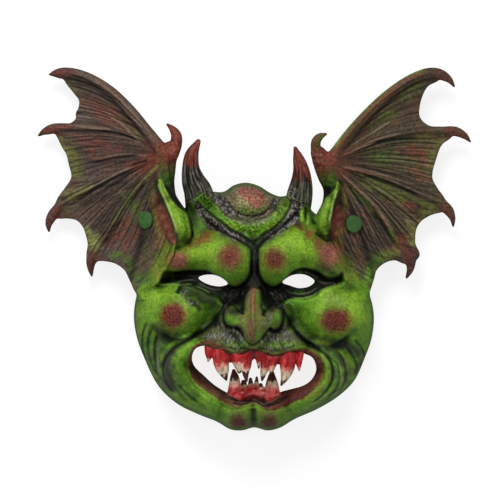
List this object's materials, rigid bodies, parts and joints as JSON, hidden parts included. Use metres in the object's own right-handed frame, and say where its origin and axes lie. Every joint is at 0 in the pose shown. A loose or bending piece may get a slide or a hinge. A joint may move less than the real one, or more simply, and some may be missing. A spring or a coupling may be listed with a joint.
{
  "type": "devil mask",
  "caption": "Latex half mask of a snarling devil face with horns, pointed ears, spread bat wings and open eye and mouth holes.",
  "frame": {"origin": "on the surface that the mask's rim lies on, under the middle of its outline", "axes": "+X to the right of someone looking at the face, +Y to the top of the mask, +Z out of the face"},
  "size_m": [0.3464, 0.2902, 0.102],
  "materials": {
    "latex": "painted, satin",
    "rivet": "satin"
  },
  "bodies": {
    "root": {"mask": "latex", "rivet_left": "rivet", "rivet_right": "rivet"}
  },
  "joints": []
}
